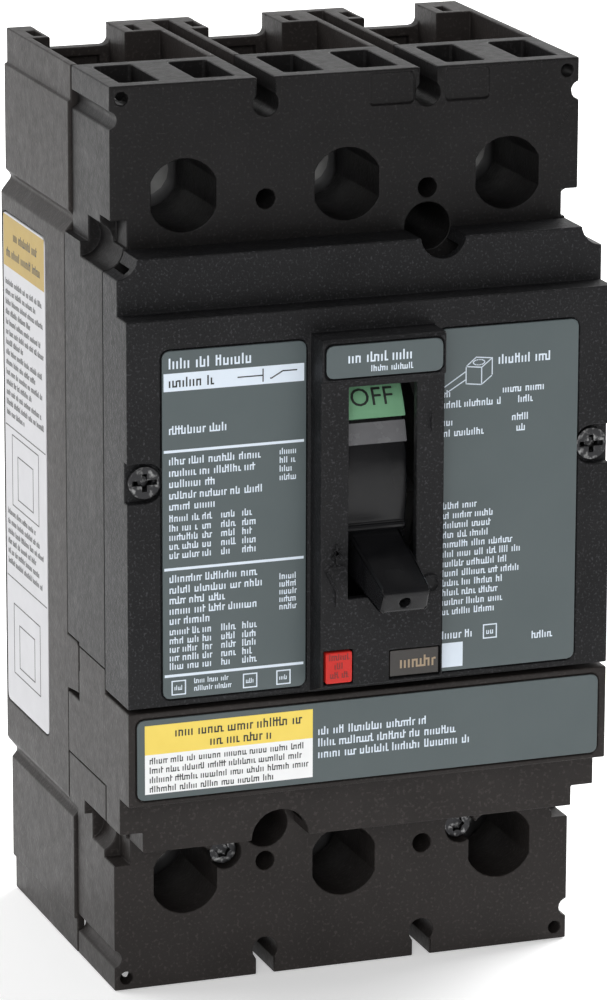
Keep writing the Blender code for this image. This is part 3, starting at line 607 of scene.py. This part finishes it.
def row_of_marks(chance, left, bottom, width, height):
    """One row of greeked print: words of short upright ticks, some of them joined by a dash."""
    marks = []
    tick, gap, space = height * 0.16, height * 0.20, height * 0.45
    here = left
    while here < left + width - 3 * tick:
        for _ in range(chance.randint(2, 6) * 2):
            if here > left + width - tick:
                break
            tall = height * chance.choice((0.68, 0.72, 0.72, 1.0))
            marks.append((here, bottom, here + tick, bottom + tall))
            if chance.random() < 0.45:
                level = bottom + chance.choice((0, height * 0.56))
                marks.append((here + tick, level, here + tick + gap, level + tick))
            here += tick + gap
        here += space
    return marks


red = Finish("button_red", Specular_IOR_Level=0.25)
red.wear(
    red.blend(red.noise(0.003, 3), (0.50, 0.020, 0.015), (0.60, 0.028, 0.021)),
    red.noise(0.0012, 3) * 0.14 + 0.27,
    red.noise(0.0009, 3),
    0.00003,
)
softened("trip_button", "trip_button_moulding", 0.2 * MM, red.material)
low, high = (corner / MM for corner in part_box("trip_button"))
chance = random.Random(11)
rows = []
for bottom, inset in ((4.9, 0.7), (3.0, 1.9), (1.1, 0.9)):
    width = high.x - low.x - 2 * inset
    rows += row_of_marks(chance, low.x + inset, low.z + bottom, width, 1.35)
# The embossed marks are the button's own red moulding: their darker red is painted shade, standing
# for the shade their relief holds.
painted_shade_red = Finish("button_marks_painted_shade")
painted_shade_red.wear(
    painted_shade_red.blend(painted_shade_red.noise(0.002, 2), (0.15, 0.008, 0.006), (0.20, 0.012, 0.009)),
    painted_shade_red.noise(0.001, 2) * 0.1 + 0.3,
)
front_marks(
    "trip_button_marks", rows, low.y * MM, 0.06 * MM, painted_shade_red.material, "trip_button"
)


# Trip button spring: a coil of drawn wire round the button's stem. Its rear end rests in the case,
# and here it is a rigid copy that rides on its body.

wound = frame["nodes"]["trip_button_spring"]
coil = placed("trip_button_coil", wound.data.copy(), drawn_wire, wound["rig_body"])
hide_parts("trip_button_spring")
low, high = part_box("trip_button_spring")
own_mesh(coil)


# Labels: blue-grey film laid in shallow recesses. Their print is generic: rules, patches, rows of
# short ticks in place of words, and a plain outline of a lug with its cable.

film = Finish("label_film", Specular_IOR_Level=0.4)
film.wear(
    film.blend(film.noise(0.012, 4), (0.075, 0.096, 0.100), (0.089, 0.111, 0.115)),
    film.noise(0.0016, 3) * 0.12 + 0.38,
    film.noise(0.0012, 3),
    0.00002,
)
for label in ("left_rating_label", "right_rating_label", "trip_cover_label", "nose_label"):
    softened(label, f"{label}_film", 0.12 * MM, film.material)

white_ink = Finish("white_ink")
white_ink.wear(
    white_ink.blend(white_ink.noise(0.004, 3), (0.66, 0.74, 0.83), (0.74, 0.82, 0.91)),
    white_ink.noise(0.001, 2) * 0.1 + 0.42,
)
yellow_ink = Finish("yellow_ink")
yellow_ink.wear(
    yellow_ink.blend(yellow_ink.noise(0.005, 3), (0.84, 0.63, 0.10), (0.91, 0.70, 0.135)),
    yellow_ink.noise(0.001, 2) * 0.1 + 0.42,
)


def framed(left, bottom, right, top, line):
    """The outline of a box, drawn as four strips inside it."""
    return [
        (left, bottom, right, bottom + line),
        (left, top - line, right, top),
        (left, bottom + line, left + line, top - line),
        (right - line, bottom + line, right, top - line),
    ]


def square_ring(x, z):
    """A plain square, as on the bottom row of each label."""
    half, line = 1.55, 0.25
    return framed(x - half, z - half, x + half, z + half, line)


def slope(x, z, run, rise, count, wide, tall):
    """A slanting line, as a run of small marks that each start a little further on."""
    return [
        (x + run * step, z + rise * step, x + run * step + wide, z + rise * step + tall)
        for step in range(count)
    ]


def oval(x, z, across, up, count, dot):
    """A closed curve round a middle, as small square marks."""
    marks = []
    for number in range(count):
        turn = math.tau * number / count
        left, bottom = x + across * math.cos(turn) - dot / 2, z + up * math.sin(turn) - dot / 2
        marks.append((left, bottom, left + dot, bottom + dot))
    return marks


INK = 0.03 * MM
low, high = (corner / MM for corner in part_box("left_rating_label"))
left, right, face = low.x + 1.4, high.x - 0.5, low.y * MM
chance = random.Random(21)
print_rows = row_of_marks(chance, left, 136.2, 17.5, 2.2)
print_rows += row_of_marks(chance, left, 122.7, 13.5, 1.8)
for rule in (119.2, 94.7, 72.3):
    print_rows.append((low.x + 0.3, rule - 0.28, right, rule + 0.28))
for height, width in ((116.4, 20), (114.0, 18), (111.7, 10), (109.3, 20), (107.0, 11), (91.9, 20)):
    print_rows += row_of_marks(chance, left, height, width, 1.6)
for height, width in ((89.6, 20), (87.4, 13), (85.2, 19), (83.1, 9)):
    print_rows += row_of_marks(chance, left, height, width, 1.6)
for height in (116.7, 114.9, 113.1, 111.3, 90.5, 88.9, 87.3, 85.7, 84.1):
    print_rows += row_of_marks(chance, right - 5.2, height, 3.6, 1.3)
for height in (104.6, 102.6, 100.7, 98.8, 96.9, 80.9, 79.0, 77.2, 75.4, 73.6):
    for start, width in ((0, 6.2), (7.0, 1.9), (11.0, 3.0), (15.5, 3.0)):
        print_rows += row_of_marks(chance, left + start, height, width, 1.45)
for start in (1.9, 17.2, 24.4):
    print_rows += square_ring(left + start, 69.7)
    print_rows += row_of_marks(chance, left + start - 0.9, 69.2, 1.8, 1.0)
for height in (70.3, 68.7):
    print_rows += row_of_marks(chance, left + 5.2, height, 8.0, 1.1)
front_marks("left_label_print", print_rows, face, INK, white_ink.material)
stripe = [(low.x + 0.3, 131.6, right, 135.3)]
front_marks("left_label_stripe", stripe, face, INK, white_ink.material)
symbol = [(left + 14.5, 133.3, left + 19.8, 133.55), (left + 19.8, 132.1, left + 20.05, 134.8)]
symbol += [(left + 21.4, 132.6, left + 21.9, 132.85), (left + 24.2, 133.9, left + 27.2, 134.15)]
symbol += slope(left + 21.6, 132.6, 0.22, 0.12, 12, 0.3, 0.25)
symbol += row_of_marks(chance, left, 132.4, 9.5, 2.0)
front_marks("left_label_stripe_marks", symbol, face - INK, INK, ink.material)

low, high = (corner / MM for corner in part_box("right_rating_label"))
left, face = low.x + 0.6, low.y * MM
print_rows = row_of_marks(chance, left + 12.4, 131.7, 11.5, 2.0)
for height, columns in (
    (125.6, ((0, 3), (13.4, 9.5))),
    (123.3, ((0, 13), (16.8, 3))),
    (119.6, ((0, 2.4), (15.5, 4))),
    (117.3, ((0, 9.6), (16.5, 2))),
):
    for start, width in columns:
        print_rows += row_of_marks(chance, left + start, height, width, 1.5)
for number, width in enumerate((8, 12, 11, 12, 16, 18, 16, 18, 14, 13, 14, 12)):
    print_rows += row_of_marks(chance, left, 102.0 - 2.05 * number, width, 1.45)
print_rows += row_of_marks(chance, left, 74.3, 7.5, 1.7)
print_rows += square_ring(left + 11.2, 75.1)
print_rows += row_of_marks(chance, left + 10.4, 74.5, 1.7, 1.2)
print_rows += row_of_marks(chance, left + 20.5, 72.6, 4.4, 1.6)
LUG_LINE, LUG_STEP = 0.22, 0.2
for x0, z0, x1, z1 in (
    (5.2, 128.0, 8.6, 127.6),
    (5.2, 128.0, 5.2, 131.6),
    (8.6, 127.6, 8.6, 131.2),
    (5.2, 131.6, 8.6, 131.2),
    (5.2, 131.6, 7.4, 133.4),
    (8.6, 131.2, 10.9, 133.0),
    (7.4, 133.4, 10.9, 133.0),
    (10.9, 133.0, 10.9, 129.4),
    (8.6, 127.6, 10.9, 129.4),
    (0.1, 127.4, 5.2, 130.6),
    (0.1, 125.9, 5.2, 128.9),
):
    count = round(math.dist((x0, z0), (x1, z1)) / LUG_STEP)
    run, rise = (x1 - x0) / count, (z1 - z0) / count
    print_rows += slope(left + x0, z0, run, rise, count, LUG_LINE, LUG_LINE)
print_rows += oval(left + 8.11, 132.41, 1.25, 0.55, 20, LUG_LINE)
front_marks("right_label_print", print_rows, face, INK, white_ink.material)
patch = [(low.x + 0.3, 68.2, low.x + 5.8, 73.4)]
front_marks("right_label_patch", patch, face, INK, white_ink.material)

low, high = (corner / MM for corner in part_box("trip_cover_label"))
face = low.y * MM
patch_left, patch_right = low.x + 1.6, low.x + 37.8
yellow = [(patch_left, 56.0, patch_right, 62.2)]
front_marks("trip_label_yellow", yellow, face, INK, yellow_ink.material)
white = [(patch_left, 47.6, patch_right, 56.0)]
front_marks("trip_label_white", white, face, INK, white_film.material)
dark_rows = row_of_marks(chance, patch_left + 6.5, 59.4, 27.5, 1.9)
dark_rows += row_of_marks(chance, patch_left + 14, 56.8, 13.5, 1.9)
for number, width in enumerate((33.5, 33, 34.2, 27)):
    dark_rows += row_of_marks(chance, patch_left + 1, 54.0 - 2.0 * number, width, 1.35)
front_marks("trip_label_dark_rows", dark_rows, face - INK, INK, ink.material)
print_rows = []
for number, width in enumerate((24, 30, 33.5)):
    print_rows += row_of_marks(chance, patch_right + 1.2, 56.5 - 2.5 * number, width, 1.75)
front_marks("trip_label_rows", print_rows, face, INK, white_ink.material)

low, high = (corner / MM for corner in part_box("nose_label"))
print_rows = row_of_marks(chance, low.x + 4.6, 136.2, 15.5, 2.1)
print_rows += row_of_marks(chance, low.x + 9.5, 134.2, 9.5, 1.3)
front_marks("nose_label_rows", print_rows, low.y * MM, INK, white_ink.material)


# Side label: a white paper film on the base's left wall, with a yellow band across its top. The
# print is again rows of plain ticks and two plain outline drawings.

side_paper = Finish("side_label_paper")
side_paper.wear(
    side_paper.blend(side_paper.noise(0.006, 4), (0.50, 0.50, 0.52), (0.58, 0.58, 0.60)),
    side_paper.noise(0.002, 3) * 0.14 + 0.45,
)
side_yellow = Finish("side_label_yellow")
side_yellow.wear(
    side_yellow.blend(side_yellow.noise(0.005, 3), (0.37, 0.25, 0.050), (0.43, 0.30, 0.065)),
    side_yellow.noise(0.001, 2) * 0.1 + 0.45,
)
softened("side_label", "side_label_film", 0.1 * MM, side_paper.material)


def side_marks(name, marks, face, rear, material):
    """Thin raised marks (left, bottom, right, top) in millimetres, from the label's rear edge."""
    slabs = [
        ((face - INK, (rear - right) * MM, bottom * MM), (face + SUNK, (rear - left) * MM, top * MM))
        for left, bottom, right, top in marks
    ]
    raised(name, slabs, material)


low, high = (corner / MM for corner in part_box("side_label"))
face, wide, top = low.x * MM, high.y - low.y, high.z
band = [(0.4, top - 11.5, wide - 0.4, top - 0.4)]
side_marks("side_label_band", band, face, high.y, side_yellow.material)
side_rows = row_of_marks(chance, 7.5, top - 5.2, 17, 2.0)
side_rows += row_of_marks(chance, 2.5, top - 9.2, 25, 2.0)
side_marks("side_label_band_rows", side_rows, face - INK, high.y, ink.material)
side_rows = []
for number in range(14):
    width = (26, 22, 27, 18, 25, 27, 13)[number % 7]
    side_rows += row_of_marks(chance, 1.5, top - 15.4 - 2.2 * number, width, 1.3)
for number in range(6):
    side_rows += row_of_marks(chance, 1.5, top - 66 - 2.2 * number, 20 + number % 3 * 3, 1.3)
SIDE_LINE = 0.25
for bottom in (top - 63.5, top - 101.0):
    for inset in (0.0, 4.0):
        box_right, box_top = 24.0 - inset + SIDE_LINE, bottom + 15.5 - inset + SIDE_LINE
        side_rows += framed(5.0 + inset, bottom + inset * 0.5, box_right, box_top, SIDE_LINE)
for rule in (top - 46.5, top - 80):
    side_rows.append((0.6, rule, wide - 0.6, rule + SIDE_LINE))
side_marks("side_label_rows", side_rows, face, high.y, ink.material)


# Rating insert: a brown plate in the nose with a row of tan marks where the rating is printed.

insert_brown = Finish("insert_brown", Specular_IOR_Level=0.5)
insert_brown.wear(
    insert_brown.blend(insert_brown.noise(0.003, 3), (0.026, 0.023, 0.021), (0.038, 0.034, 0.031)),
    insert_brown.noise(0.001, 3) * 0.12 + 0.32,
)
softened("rating_insert", "rating_insert_plate", 0.12 * MM, insert_brown.material)
tan = Finish("tan_ink")
tan.wear(
    tan.blend(tan.noise(0.002, 3), (0.29, 0.21, 0.13), (0.38, 0.29, 0.19)),
    tan.noise(0.001, 2) * 0.1 + 0.4,
)
low, high = (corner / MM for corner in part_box("rating_insert"))
rating = row_of_marks(random.Random(5), low.x + 2.2, low.z + 1.6, 7.6, 2.4)
front_marks("rating_insert_marks", rating, low.y * MM, INK, tan.material)


# Nose marks: raised lines moulded in the accessory cover beside the window, the usual circle and
# bar for off and on, and a switch's circuit symbol.

LABEL_RECESS, SYMBOL_RISE = 0.45 * MM, 0.22 * MM
nose_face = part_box("nose_label")[0].y + LABEL_RECESS
symbols = oval(10.5, 88.4, 1.75, 1.75, 24, 0.52)
symbols.append((10.2, 120.4, 10.75, 124.2))
symbols += [(-10.25, 94.4, -9.8, 98.6), (-10.25, 85.4, -9.8, 88.6), (-11.8, 93.6, -8.4, 94.0)]
symbols += slope(-10.2, 88.6, -0.22, 0.418, 10, 0.4, 0.5)
symbols += slope(-11.0, 95.6, 0.22, 0.22, 8, 0.4, 0.4)
symbols += slope(-9.1, 95.6, -0.22, 0.22, 8, 0.4, 0.4)
front_marks("nose_symbols", symbols, nose_face, SYMBOL_RISE, grained)


bpy.context.view_layer.update()
